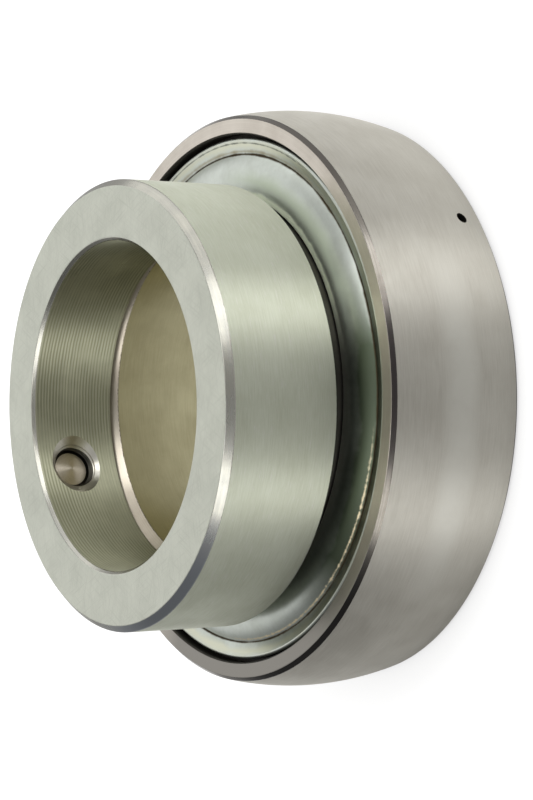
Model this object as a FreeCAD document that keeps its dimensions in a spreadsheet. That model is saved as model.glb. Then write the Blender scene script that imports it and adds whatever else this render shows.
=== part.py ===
"""Insert ball bearing with a spherical outside and an eccentric locking collar, for a 55 mm shaft.

Frame: +Z is the bearing's axis, towards the locking collar, and the origin is the centre of the spherical
outside, on the ball circle's plane. The bearing stands on the flush rear faces of its two rings. +Y points
from the collar's axis back to the bearing's axis, because the collar hangs on its cam, turned away from the
place where it is in line with the bore. All sizes are in millimetres.

The sizes run outwards from the shaft and forwards from the balls, each piece on the one before it. They come
to a sphere of 100, an outer ring 25 wide, an inner ring 32.5 long and 48.4 over the collar.
"""

import FreeCAD, Part

import os

import Sketcher
from FreeCAD import Placement, Rotation, Vector

# Driving sizes: alias, value, what it is
SIZES = (
    ("shaft_diameter", 55.0, "bore of the inner ring"),
    ("inner_ring_wall", 7.0, "inner ring, from its bore to its outside beside the raceway"),
    ("inner_groove_depth", 2.944, "inner raceway, under the inner ring's outside"),
    ("ball_diameter", 14.288, "nine sixteenths of an inch"),
    ("ball_count", 10, "balls in the cage"),
    ("ball_clearance", 0.05, "from a ball to the bottom of each raceway"),
    ("raceway_ratio", 1.03, "radius of a raceway's groove over the ball's radius"),
    ("outer_groove_depth", 2.644, "outer raceway, under the outer ring's bore"),
    ("outer_ring_wall", 4.056, "outer ring, from the bottom of its raceway to its spherical outside"),
    ("ring_chamfer", 0.66, "outside edges of the outer ring"),
    ("land_chamfer", 0.6, "outside edges of the inner ring"),
    ("bore_chamfer", 1.4, "both ends of the inner ring's bore"),
    ("lube_hole_diameter", 2.0, "grease holes in the outer ring"),
    ("lube_hole_height", 4.9, "grease holes, from the rear face"),
    ("lube_hole_angle", 36.4, "first grease hole, about the axis from +X"),
    ("cage_inner_reach", 2.45, "cage, inside the circle of the balls' centres"),
    ("cage_outer_reach", 2.55, "cage, outside the circle of the balls' centres"),
    ("cage_web", 1.206, "closed side of the cage, behind its pockets"),
    ("cage_front", 3.4, "tips of the cage's prongs, from the balls' plane"),
    ("pocket_clearance", 0.15, "from a ball to its pocket"),
    ("notch_width", 4.0, "gap between two prongs"),
    ("notch_depth", 5.0, "gap between two prongs, along the axis"),
    ("seal_gap", 0.4, "from the cage's closed side to the rear seal"),
    ("seat_step", 2.28, "mouth of the seal seat, over the outer ring's bore, on the radius"),
    ("seat_undercut", 0.47, "how far the seal seat is cut under its mouth, on the radius"),
    ("mouth_chamfer", 0.2, "edge of the seat's mouth"),
    ("seat_clearance", 0.05, "round the seals in their seat"),
    ("sheet_thickness", 0.6, "both washers of a seal"),
    ("rim_gap", 1.13, "from the seat's mouth to the outer washer's raised rim"),
    ("rim_recess", 0.85, "rim, behind the ring's face"),
    ("rim_width", 2.85, "rim, from its outside to the crease"),
    ("crease_recess", 1.7, "crease, behind the ring's face"),
    ("dish_flat", 2.1, "flatter inner part of the dish, from the inner ring's outside"),
    ("dish_shoulder_recess", 0.15, "outer edge of that flatter part, behind the ring's face"),
    ("dish_radius", 12.0, "curve of the dish"),
    ("washer_gap", 0.25, "from the inner ring to the outer washer's edge"),
    ("inner_washer_gap", 0.7, "from the inner ring to the inner washer's edge"),
    ("lip_clearance", 0.05, "from the inner ring to the seal's lip"),
    ("lip_thickness", 0.65, "rubber of the seal's web"),
    ("lip_tip_width", 0.4, "end of the lip, along the axis"),
    ("lip_lean", 1.7, "how far the lip leans outwards, along the axis"),
    ("lip_reach", 2.25, "leaning part of the lip, on the radius"),
    ("web_clearance", 0.05, "from the rubber's web to the outer washer's crease"),
    ("web_margin", 0.25, "from the rubber's outer edge to the rim of the outer washer"),
    ("ring_overhang", 2.3, "inner ring, from the outer ring's front face to the neck"),
    ("relief_width", 0.9, "neck behind the cam, along the axis"),
    ("relief_step", 0.2875, "neck, under the lowest side of the cam"),
    ("cam_wall", 5.5, "cam's outside, over the bore, on the radius"),
    ("cam_length", 4.3, "eccentric end of the inner ring"),
    ("cam_offset", 0.6125, "cam's centre from the bearing's axis"),
    ("cam_chamfer", 0.6, "front edge of the cam"),
    ("cam_clearance", 0.1, "round the cam in the collar's recess"),
    ("collar_wall", 4.7, "locking collar, over its recess, on the radius"),
    ("collar_bore_clearance", 0.1, "from the shaft to the collar's bore"),
    ("collar_end_gap", 0.25, "from the inner ring's end to the bottom of the collar's recess"),
    ("collar_chamfer", 1.15, "front outside edge of the collar"),
    ("collar_back_chamfer", 0.4, "rear outside edge of the collar"),
    ("collar_bore_chamfer", 0.55, "front edge of the collar's bore"),
    ("recess_chamfer", 0.5, "mouth of the collar's recess"),
    ("screw_diameter", 8.0, "thread of the set screw"),
    ("screw_clearance", 0.05, "between the thread's two outlines, on the radius"),
    ("screw_length", 8.0, "set screw"),
    ("screw_setback", 1.75, "point of the screw, behind the wall of the collar's bore"),
    ("screw_standoff", 8.0, "screw's axis, in front of the bottom of the collar's recess"),
    ("screw_depth", 7.65, "screw's axis, behind the collar's front face"),
    ("screw_angle", 202.4, "screw, about the axis from +X"),
    ("screw_end_chamfer", 0.5, "socket end of the screw"),
    ("point_step", 0.95, "blunt cone of the screw's point, inside its thread"),
    ("point_height", 0.5, "blunt cone of the screw's point"),
    ("socket_width", 4.0, "hexagon socket, across the flats"),
    ("socket_depth", 4.0, "hexagon socket"),
    ("countersink", 0.9, "both ends of the screw's hole"),
    ("drift_hole_diameter", 6.5, "blind hole for the drift that turns the collar"),
    ("drift_hole_depth", 4.5, "blind hole, to the end of its straight wall"),
    ("drift_hole_point", 1.9, "cone that the drill leaves"),
    ("drift_hole_angle", 90.0, "blind hole, about the axis, before the screw"),
)

doc = FreeCAD.newDocument("insert_bearing")
sizes = doc.addObject("Spreadsheet::Sheet", "sizes")
for row, (alias, number, meaning) in enumerate(SIZES, start=1):
    sizes.set(f"A{row}", meaning)
    sizes.set(f"B{row}", str(number))
    sizes.setAlias(f"B{row}", alias)
doc.recompute()


def named(text):
    """Return an expression in which each size's alias is read from the sheet."""
    words = []
    word = ""
    for letter in text + " ":
        if letter.isalnum() or letter == "_":
            word += letter
            continue
        words.append(f"sizes.{word}" if word in ALIASES else word)
        words.append(letter)
        word = ""
    return "".join(words).strip()


ALIASES = {alias for alias, number, meaning in SIZES}


def amount(text):
    """Return what an expression comes to now, as a plain number."""
    found = sizes.evalExpression(named(text))
    return float(getattr(found, "Value", found))


# Radii that several pieces share, from the shaft outwards
BORE = "(shaft_diameter / 2)"
COLLAR_BORE = f"({BORE} + collar_bore_clearance)"
CAM = f"({BORE} + cam_wall)"
RECESS = f"({CAM} + cam_clearance)"
COLLAR = f"({RECESS} + collar_wall)"
LAND = f"({BORE} + inner_ring_wall)"
INNER_RACEWAY = f"({LAND} - inner_groove_depth)"
BALL_CIRCLE = f"({INNER_RACEWAY} + ball_clearance + ball_diameter / 2)"
OUTER_RACEWAY = f"({BALL_CIRCLE} + ball_diameter / 2 + ball_clearance)"
OUTER_LAND = f"({OUTER_RACEWAY} - outer_groove_depth)"
MOUTH = f"({OUTER_LAND} + seat_step)"
SEAT_RADIUS = f"({MOUTH} + seat_undercut)"
SPHERE = f"({OUTER_RACEWAY} + outer_ring_wall)"
GROOVE_RADIUS = "(ball_diameter / 2 * raceway_ratio)"
RIM = f"({MOUTH} - rim_gap)"

# Heights that several pieces share, from the balls' plane forwards
CAGE_BACK = "(ball_diameter / 2 + pocket_clearance + cage_web)"
SEAT = f"({CAGE_BACK} + seal_gap)"
FACE = f"({SEAT} + 2 * sheet_thickness + lip_thickness + web_clearance + crease_recess)"
REAR = f"(-{FACE})"
NECK_START = f"({FACE} + ring_overhang)"
COLLAR_BACK = f"({NECK_START} + relief_width)"
RING_END = f"({COLLAR_BACK} + cam_length)"
RECESS_END = f"({RING_END} + collar_end_gap)"
SCREW_HEIGHT = f"({RECESS_END} + screw_standoff)"
COLLAR_FRONT = f"({SCREW_HEIGHT} + screw_depth)"

# Where the cam's axis and the collar's axis lie, along Y
CAM_SHIFT = "-cam_offset"
COLLAR_SHIFT = "-2 * cam_offset"

# How far a cutter starts outside the solid that it cuts
OVERRUN = "1"


def half_width(depth):
    """Return the expression for half a raceway's width where it is cut to this depth."""
    return f"sqrt({GROOVE_RADIUS}^2 - ({GROOVE_RADIUS} - ({depth}))^2)"


def new_body(label):
    """Return an empty body whose label names its piece."""
    body = doc.addObject("PartDesign::Body", label)
    body.Label = label
    return body


def origin_feature(body, role):
    """Return one of the body's own planes or axes."""
    return next(item for item in body.Origin.OriginFeatures if item.Role == role)


def new_sketch(body, name, role="YZ_Plane", shift="0", lift="0", turn=None):
    """Return a sketch on one of the body's planes, moved in it, and turned about its own upright axis."""
    sketch = body.newObject("Sketcher::SketchObject", name)
    sketch.AttachmentSupport = [(origin_feature(body, role), "")]
    sketch.MapMode = "FlatFace"
    if turn is not None:
        sketch.AttachmentOffset = Placement(Vector(), Rotation(Vector(0, 1, 0), amount(turn)))
        sketch.setExpression("AttachmentOffset.Rotation.Angle", named(f"({turn}) * 1 deg"))
    sketch.setExpression("AttachmentOffset.Base.x", named(shift))
    sketch.setExpression("AttachmentOffset.Base.y", named(lift))
    return sketch


def arc_between(start, end, radius, left):
    """Return the short arc from one point to the other, whose centre is left or right of that way."""
    chord = end - start
    middle = (start + end) * 0.5
    rise = (radius**2 - (chord.Length / 2) ** 2) ** 0.5
    side = Vector(-chord.y, chord.x, 0).normalize() * (rise if left else -rise)
    centre = middle + side
    first, last = (start, end) if left else (end, start)
    angles = [Vector(1, 0, 0).getAngle(point - centre) for point in (first, last)]
    if first.y < centre.y:
        angles[0] = -angles[0]
    if last.y < centre.y:
        angles[1] = -angles[1]
    circle = Part.Circle(centre, Vector(0, 0, 1), radius)
    return Part.ArcOfCircle(circle, angles[0], angles[1])


def draw_outline(sketch, corners, arcs=None):
    """Draw a closed outline whose corners are pairs of expressions, with some of its sides as arcs.

    arcs gives, for the number of a side, the expression for its radius and whether its centre is to the
    left on the way from that corner to the next.
    """
    arcs = arcs or {}
    points = [Vector(amount(across), amount(up), 0) for across, up in corners]
    count = len(corners)
    starts = []
    ends = []
    for number, start in enumerate(points):
        end = points[(number + 1) % count]
        if number in arcs:
            radius, left = arcs[number]
            index = sketch.addGeometry(arc_between(start, end, amount(radius), left), False)
            starts.append((index, 1 if left else 2))
            ends.append((index, 2 if left else 1))
        else:
            index = sketch.addGeometry(Part.LineSegment(start, end), False)
            starts.append((index, 1))
            ends.append((index, 2))
    for number in range(count):
        sketch.addConstraint(Sketcher.Constraint("Coincident", *ends[number - 1], *starts[number]))
    for number, (across, up) in enumerate(corners):
        for kind, axis, name, text, now in (
            ("DistanceX", -2, f"across_{number}", across, points[number].x),
            ("DistanceY", -1, f"up_{number}", up, points[number].y),
        ):
            if text == "0":
                sketch.addConstraint(Sketcher.Constraint("PointOnObject", *starts[number], axis))
                continue
            index = sketch.addConstraint(Sketcher.Constraint(kind, *starts[number], now))
            sketch.renameConstraint(index, name)
            sketch.setExpression(f"Constraints.{name}", named(text))
    for number, (radius, left) in arcs.items():
        index = sketch.addConstraint(Sketcher.Constraint("Radius", starts[number][0], amount(radius)))
        sketch.renameConstraint(index, f"radius_{number}")
        sketch.setExpression(f"Constraints.radius_{number}", named(radius))


def turned(body, name, corners, arcs=None, shift="0"):
    """Add material turned about an upright axis, which shift moves along Y."""
    sketch = new_sketch(body, f"{name}_outline", shift=shift)
    draw_outline(sketch, corners, arcs)
    feature = body.newObject("PartDesign::Revolution", name)
    feature.Profile = sketch
    feature.ReferenceAxis = (sketch, ["V_Axis"])
    feature.Angle = 360
    return feature


def turned_away(body, name, corners, shift="0"):
    """Cut material away about an upright axis, which shift moves along Y."""
    sketch = new_sketch(body, f"{name}_outline", shift=shift)
    draw_outline(sketch, corners)
    return cut_round(body, name, sketch, "V_Axis")


def drilled_from_side(body, name, corners, height, angle, shift="0"):
    """Cut a round hole across the axis: its outline runs outwards from the axis, above the hole's middle."""
    sketch = new_sketch(body, f"{name}_outline", shift=shift, lift=height, turn=f"{angle} - 90")
    draw_outline(sketch, corners)
    return cut_round(body, name, sketch, "H_Axis")


def cut_round(body, name, sketch, axis):
    """Cut away what the sketch sweeps in a full turn, and check that something went."""
    doc.recompute()
    before = body.Shape.Volume
    feature = body.newObject("PartDesign::Groove", name)
    feature.Profile = sketch
    feature.ReferenceAxis = (sketch, [axis])
    feature.Angle = 360
    doc.recompute()
    if body.Shape.Volume >= before:
        raise RuntimeError(f"{name} cuts nothing from {body.Label}")
    return feature


def repeated(body, name, originals, count):
    """Repeat cuts evenly about the axis, so many times in all."""
    feature = body.newObject("PartDesign::PolarPattern", name)
    feature.Originals = originals
    feature.Axis = (origin_feature(body, "Z_Axis"), [""])
    feature.Angle = 360
    feature.setExpression("Occurrences", named(count))
    body.Tip = feature
    return feature


def outer_ring():
    """Outer ring: spherical outside, ball groove, an undercut seal seat at each face, two grease holes."""
    body = new_body("outer_ring")
    shoulder = f"({FACE} - ring_chamfer)"
    edge = f"sqrt({SPHERE}^2 - {shoulder}^2)"
    undercut = f"({SEAT} + 2 * sheet_thickness + seat_clearance)"
    groove = half_width("outer_groove_depth")
    upper = (
        (edge, shoulder),
        (f"{edge} - ring_chamfer", FACE),
        (f"{MOUTH} + mouth_chamfer", FACE),
        (MOUTH, f"{FACE} - mouth_chamfer"),
        (MOUTH, undercut),
        (SEAT_RADIUS, undercut),
        (SEAT_RADIUS, SEAT),
        (OUTER_LAND, SEAT),
        (OUTER_LAND, groove),
    )
    lower = [(across, f"-({up})") for across, up in reversed(upper)]
    last_upper = len(upper) - 1
    last_lower = 2 * len(upper) - 1
    arcs = {last_upper: (GROOVE_RADIUS, False), last_lower: (SPHERE, True)}
    turned(body, "ring_section", [*upper, *lower], arcs)
    hole = "lube_hole_diameter / 2"
    inside = f"{OUTER_LAND} - {OVERRUN}"
    outside = f"{SPHERE} + {OVERRUN}"
    drill = drilled_from_side(
        body,
        "grease_hole",
        [(inside, "0"), (outside, "0"), (outside, hole), (inside, hole)],
        f"{REAR} + lube_hole_height",
        "lube_hole_angle",
    )
    repeated(body, "grease_holes", [drill], "2")
    return body


def inner_ring():
    """Inner ring: ball groove, a long front end with a neck, and the eccentric cam that the collar grips."""
    body = new_body("inner_ring")
    relief = f"({CAM} - cam_offset - relief_step)"
    groove = half_width("inner_groove_depth")
    corners = [
        (BORE, f"{REAR} + bore_chamfer"),
        (f"{BORE} + bore_chamfer", REAR),
        (f"{LAND} - land_chamfer", REAR),
        (LAND, f"{REAR} + land_chamfer"),
        (LAND, f"-{groove}"),
        (LAND, groove),
        (LAND, f"{NECK_START} - land_chamfer"),
        (f"{LAND} - land_chamfer", NECK_START),
        (relief, NECK_START),
        (relief, RING_END),
        (f"{BORE} + bore_chamfer", RING_END),
        (BORE, f"{RING_END} - bore_chamfer"),
    ]
    turned(body, "ring_section", corners, {4: (GROOVE_RADIUS, False)})
    root = f"({relief} - 2 * cam_offset)"
    cam_corners = [
        (root, COLLAR_BACK),
        (CAM, COLLAR_BACK),
        (CAM, f"{RING_END} - cam_chamfer"),
        (f"{CAM} - cam_chamfer", RING_END),
        (root, RING_END),
    ]
    turned(body, "cam", cam_corners, shift=CAM_SHIFT)
    return body


def ball(number):
    """One ball, in its place on the ball circle."""
    piece = doc.addObject("Part::Sphere", f"ball_{number + 1:02d}")
    piece.Label = f"ball_{number + 1:02d}"
    piece.setExpression("Radius", named("ball_diameter / 2"))
    turn = f"({number} * 360 deg / ball_count)"
    piece.setExpression("Placement.Base.x", named(f"{BALL_CIRCLE} * cos{turn}"))
    piece.setExpression("Placement.Base.y", named(f"{BALL_CIRCLE} * sin{turn}"))
    return piece


def cage():
    """Snap cage: a ring closed at the back, with round pockets that open forwards between pairs of prongs."""
    body = new_body("cage")
    inside = f"{BALL_CIRCLE} - cage_inner_reach"
    outside = f"{BALL_CIRCLE} + cage_outer_reach"
    back = f"-{CAGE_BACK}"
    turned(
        body,
        "cage_section",
        [(inside, back), (outside, back), (outside, "cage_front"), (inside, "cage_front")],
    )
    doc.recompute()
    before = body.Shape.Volume
    pocket = body.newObject("PartDesign::SubtractiveSphere", "pocket")
    pocket.AttachmentSupport = [(origin_feature(body, "XY_Plane"), "")]
    pocket.MapMode = "FlatFace"
    pocket.setExpression("Radius", named("ball_diameter / 2 + pocket_clearance"))
    pocket.setExpression("AttachmentOffset.Base.x", named(BALL_CIRCLE))
    doc.recompute()
    if body.Shape.Volume >= before:
        raise RuntimeError("the pocket cuts nothing from the cage")
    repeated(body, "pockets", [pocket], "ball_count")
    doc.recompute()
    before = body.Shape.Volume
    notch = body.newObject("PartDesign::SubtractiveBox", "notch")
    notch.AttachmentSupport = [(origin_feature(body, "XY_Plane"), "")]
    notch.MapMode = "FlatFace"
    notch.AttachmentOffset = Placement(Vector(), Rotation(Vector(0, 0, 1), 180 / amount("ball_count")))
    notch.setExpression("AttachmentOffset.Rotation.Angle", named("180 deg / ball_count"))
    half_turn = "(180 deg / ball_count)"
    notch.setExpression("AttachmentOffset.Base.x", named(f"notch_width / 2 * sin{half_turn}"))
    notch.setExpression("AttachmentOffset.Base.y", named(f"-notch_width / 2 * cos{half_turn}"))
    notch.setExpression("AttachmentOffset.Base.z", named("cage_front - notch_depth"))
    notch.setExpression("Length", named(f"{outside} + {OVERRUN}"))
    notch.setExpression("Width", named("notch_width"))
    notch.setExpression("Height", named(f"notch_depth + {OVERRUN}"))
    doc.recompute()
    if body.Shape.Volume >= before:
        raise RuntimeError("the notch cuts nothing from the cage")
    repeated(body, "notches", [notch], "ball_count")
    return body


def facing(body, side):
    """Leave a seal's piece at the front, or turn it over to the rear."""
    if side == "rear":
        body.Placement = Placement(Vector(), Rotation(Vector(1, 0, 0), 180))
    return body


def outer_washer(side):
    """Outer washer of a seal, drawn from sheet: held by its flange, with a raised rim, a crease and a dish."""
    body = new_body(f"{side}_outer_washer")
    sheet = "sheet_thickness"
    flange = f"({SEAT} + {sheet})"
    held = f"{SEAT_RADIUS} - seat_clearance"
    rim_top = f"({FACE} - rim_recess)"
    crease = f"({RIM} - rim_width)"
    crease_top = f"({FACE} - crease_recess)"
    shoulder = f"({LAND} + dish_flat)"
    shoulder_top = f"({FACE} - dish_shoulder_recess)"
    edge = f"{LAND} + washer_gap"
    corners = [
        (held, flange),
        (held, f"{flange} + {sheet}"),
        (RIM, f"{flange} + {sheet}"),
        (RIM, f"{rim_top} - {sheet}"),
        (f"{RIM} - {sheet}", rim_top),
        (crease, crease_top),
        (shoulder, shoulder_top),
        (edge, FACE),
        (edge, f"{FACE} - {sheet}"),
        (shoulder, f"{shoulder_top} - {sheet}"),
        (crease, f"{crease_top} - {sheet}"),
        (f"{RIM} - {sheet}", f"{rim_top} - {sheet}"),
        (f"{RIM} - {sheet}", flange),
    ]
    arcs = {3: (sheet, True), 5: ("dish_radius", True), 9: ("dish_radius", False)}
    turned(body, "washer_section", corners, arcs)
    return facing(body, side)


def seal_lip(side):
    """Rubber of a seal: a flat web between the two washers, and a lip that leans out to the inner ring."""
    body = new_body(f"{side}_seal_lip")
    base = f"({SEAT} + sheet_thickness)"
    outside = f"({RIM} - sheet_thickness - web_margin)"
    tip = f"({LAND} + lip_clearance)"
    corners = [
        (outside, base),
        (outside, f"{base} + lip_thickness"),
        (f"{tip} + lip_reach + lip_thickness", f"{base} + lip_thickness"),
        (f"{tip} + lip_tip_width", f"{base} + lip_lean"),
        (tip, f"{base} + lip_lean"),
        (tip, f"{base} + lip_lean - lip_tip_width"),
        (f"{tip} + lip_reach", base),
    ]
    turned(body, "lip_section", corners)
    return facing(body, side)


def inner_washer(side):
    """Inner washer of a seal: a flat ring against the step of the seat."""
    body = new_body(f"{side}_inner_washer")
    outside = f"{SEAT_RADIUS} - seat_clearance"
    inside = f"{LAND} + inner_washer_gap"
    top = f"{SEAT} + sheet_thickness"
    turned(body, "washer_section", [(outside, SEAT), (outside, top), (inside, top), (inside, SEAT)])
    return facing(body, side)


def locking_collar():
    """Locking collar: plain bore, eccentric recess over the cam, threaded screw hole and blind drift hole."""
    body = new_body("locking_collar")
    corners = [
        (COLLAR_BORE, COLLAR_BACK),
        (f"{COLLAR} - collar_back_chamfer", COLLAR_BACK),
        (COLLAR, f"{COLLAR_BACK} + collar_back_chamfer"),
        (COLLAR, f"{COLLAR_FRONT} - collar_chamfer"),
        (f"{COLLAR} - collar_chamfer", COLLAR_FRONT),
        (f"{COLLAR_BORE} + collar_bore_chamfer", COLLAR_FRONT),
        (COLLAR_BORE, f"{COLLAR_FRONT} - collar_bore_chamfer"),
    ]
    turned(body, "collar_section", corners, shift=COLLAR_SHIFT)
    recess_corners = [
        ("0", f"{COLLAR_BACK} - {OVERRUN}"),
        (f"{RECESS} + recess_chamfer", f"{COLLAR_BACK} - {OVERRUN}"),
        (f"{RECESS} + recess_chamfer", COLLAR_BACK),
        (RECESS, f"{COLLAR_BACK} + recess_chamfer"),
        (RECESS, RECESS_END),
        ("0", RECESS_END),
    ]
    turned_away(body, "recess", recess_corners, shift=CAM_SHIFT)
    thread = "screw_diameter / 2"
    inner_start = f"({COLLAR_BORE} - {OVERRUN})"
    outer_end = f"({COLLAR} + {OVERRUN})"
    screw_corners = [
        (inner_start, "0"),
        (outer_end, "0"),
        (outer_end, f"{thread} + countersink + {OVERRUN}"),
        (f"{COLLAR} - countersink", thread),
        (f"{COLLAR_BORE} + countersink", thread),
        (inner_start, f"{thread} + countersink + {OVERRUN}"),
    ]
    drilled_from_side(body, "screw_hole", screw_corners, SCREW_HEIGHT, "screw_angle", COLLAR_SHIFT)
    drift = "drift_hole_diameter / 2"
    bottom = f"({COLLAR} - drift_hole_depth)"
    drift_corners = [
        (f"{bottom} - drift_hole_point", "0"),
        (outer_end, "0"),
        (outer_end, drift),
        (bottom, drift),
    ]
    drift_angle = "screw_angle - drift_hole_angle"
    drilled_from_side(body, "drift_hole", drift_corners, SCREW_HEIGHT, drift_angle, COLLAR_SHIFT)
    return body


def set_screw():
    """Set screw: blunt cone point, plain outline for its thread, and a hexagon socket at the outer end."""
    body = new_body("set_screw")
    radius = "(screw_diameter / 2 - screw_clearance)"
    point = f"({COLLAR_BORE} + screw_setback)"
    end = f"({point} + screw_length)"
    cone = "(screw_diameter / 2 - point_step)"
    corners = [
        ("0", point),
        (cone, f"{point} + point_height"),
        (radius, f"{point} + point_height + {radius} - {cone}"),
        (radius, f"{end} - screw_end_chamfer"),
        (f"{radius} - screw_end_chamfer", end),
        ("0", end),
    ]
    turned(body, "screw_section", corners)
    doc.recompute()
    before = body.Shape.Volume
    sketch = new_sketch(body, "socket_outline", role="XY_Plane")
    sketch.setExpression("AttachmentOffset.Base.z", named(end))
    reach = "socket_width / sqrt(3)"
    turns = [f"({60 * number + 30} deg)" for number in range(6)]
    draw_outline(sketch, [(f"{reach} * cos{turn}", f"{reach} * sin{turn}") for turn in turns])
    socket = body.newObject("PartDesign::Pocket", "socket")
    socket.Profile = sketch
    socket.setExpression("Length", named("socket_depth"))
    doc.recompute()
    if body.Shape.Volume >= before:
        raise RuntimeError("the socket cuts nothing from the set screw")
    angle = amount("screw_angle")
    lying = Rotation(Vector(0, 0, 1), angle) * Rotation(Vector(0, 1, 0), 90)
    body.Placement = Placement(Vector(), lying)
    body.setExpression("Placement.Base.y", named(COLLAR_SHIFT))
    body.setExpression("Placement.Base.z", named(SCREW_HEIGHT))
    return body


pieces = [outer_ring(), inner_ring(), cage()]
pieces += [ball(number) for number in range(int(amount("ball_count")))]
for seal_side in ("front", "rear"):
    pieces += [inner_washer(seal_side), seal_lip(seal_side), outer_washer(seal_side)]
pieces += [locking_collar(), set_screw()]
doc.recompute()

for item in doc.Objects:
    if "Invalid" in item.State or "Error" in item.State:
        raise RuntimeError(f"{item.Name} failed: {item.State}")
for piece in pieces:
    if piece.Shape.isNull() or not piece.Shape.isValid():
        raise RuntimeError(f"{piece.Label} has no valid shape")

os.makedirs("parts", exist_ok=True)
for piece in pieces:
    piece.Shape.exportStep(f"parts/{piece.Label}.step")
    print(piece.Label, len(piece.Shape.Solids), round(piece.Shape.Volume, 1))
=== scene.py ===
"""Looks of the insert bearing: turned and ground steel, sheet seals, set screw, floor, light and camera.

Lengths in the classes are millimetres and angles are degrees. Each outline is turned in millimetres and its
mesh is brought to metres last. The bearing's axis is Z, and each piece lies where the frame's boxes put its
node.
"""

import logging
import math
from collections.abc import Callable
from dataclasses import dataclass, field
from enum import Enum, IntEnum

import bmesh
import bpy
from mathutils import Matrix, Vector


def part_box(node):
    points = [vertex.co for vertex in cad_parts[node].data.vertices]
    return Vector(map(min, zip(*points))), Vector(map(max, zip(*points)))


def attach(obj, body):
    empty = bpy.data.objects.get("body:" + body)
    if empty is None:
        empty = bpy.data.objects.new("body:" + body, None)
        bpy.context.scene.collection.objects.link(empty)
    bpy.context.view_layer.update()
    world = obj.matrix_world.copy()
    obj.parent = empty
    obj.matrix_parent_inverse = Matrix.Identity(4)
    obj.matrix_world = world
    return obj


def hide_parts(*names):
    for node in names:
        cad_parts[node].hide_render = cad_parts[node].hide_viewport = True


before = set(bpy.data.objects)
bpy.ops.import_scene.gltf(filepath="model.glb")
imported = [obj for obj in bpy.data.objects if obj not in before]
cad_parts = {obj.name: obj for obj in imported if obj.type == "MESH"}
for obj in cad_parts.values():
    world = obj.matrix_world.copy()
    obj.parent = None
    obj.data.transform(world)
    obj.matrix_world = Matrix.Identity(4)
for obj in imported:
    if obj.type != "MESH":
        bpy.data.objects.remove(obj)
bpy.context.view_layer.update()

LOG = logging.getLogger("bearing")

Colour = tuple[float, float, float]
Place = tuple[float, float, float]
Range = tuple[float, float]
Mesh = bmesh.types.BMesh
Piece = bpy.types.Object
Socket = bpy.types.NodeSocket
Value = Socket | float | Vector | tuple[float, ...]

MM = 0.001
FULL_TURN = 2 * math.pi

# Steps round a turned piece, round a hole and over a rounded edge, and how close points merge.
AROUND = 256
HOLE_AROUND = 64
EDGE_STEPS = 3
MERGE = 1e-5

# How far a cutter reaches past a wall, and how upright a flat face's normal is.
SPARE = 1.0
FLAT = 0.9

# Shading stops at edges sharper than the first angle, and past the second where one face is that much wider.
CREASE_ANGLE = 32.0
ROUNDING_ANGLE = 3.0
ROUNDING_SHARE = 3

RING_STEEL = (0.66, 0.64, 0.575)
RING_SHADE = (0.565, 0.54, 0.475)
PLATE = (0.765, 0.795, 0.67)
PLATE_SHADE = (0.65, 0.675, 0.535)
SCRATCHED = (0.80, 0.80, 0.74)
DARK_STEEL = (0.16, 0.14, 0.12)
# A dark brown line along the washer's crease.
CREASE_BROWN = (0.072, 0.054, 0.03)


def spot(node: str, high: bool = True) -> Vector:
    """Return the highest corner of a node's box in millimetres, or its lowest corner."""
    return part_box(node)[1 if high else 0] / MM


class Lay(Enum):
    """Which way the marks of a finish run."""

    ROUND = "round the axis"
    CROSSED = "every way over a flat face"
    NONE = "no marks with a direction"


class Work(Enum):
    """What is done to a piece with other solids."""

    CUT = "DIFFERENCE"
    JOIN = "UNION"


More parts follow.
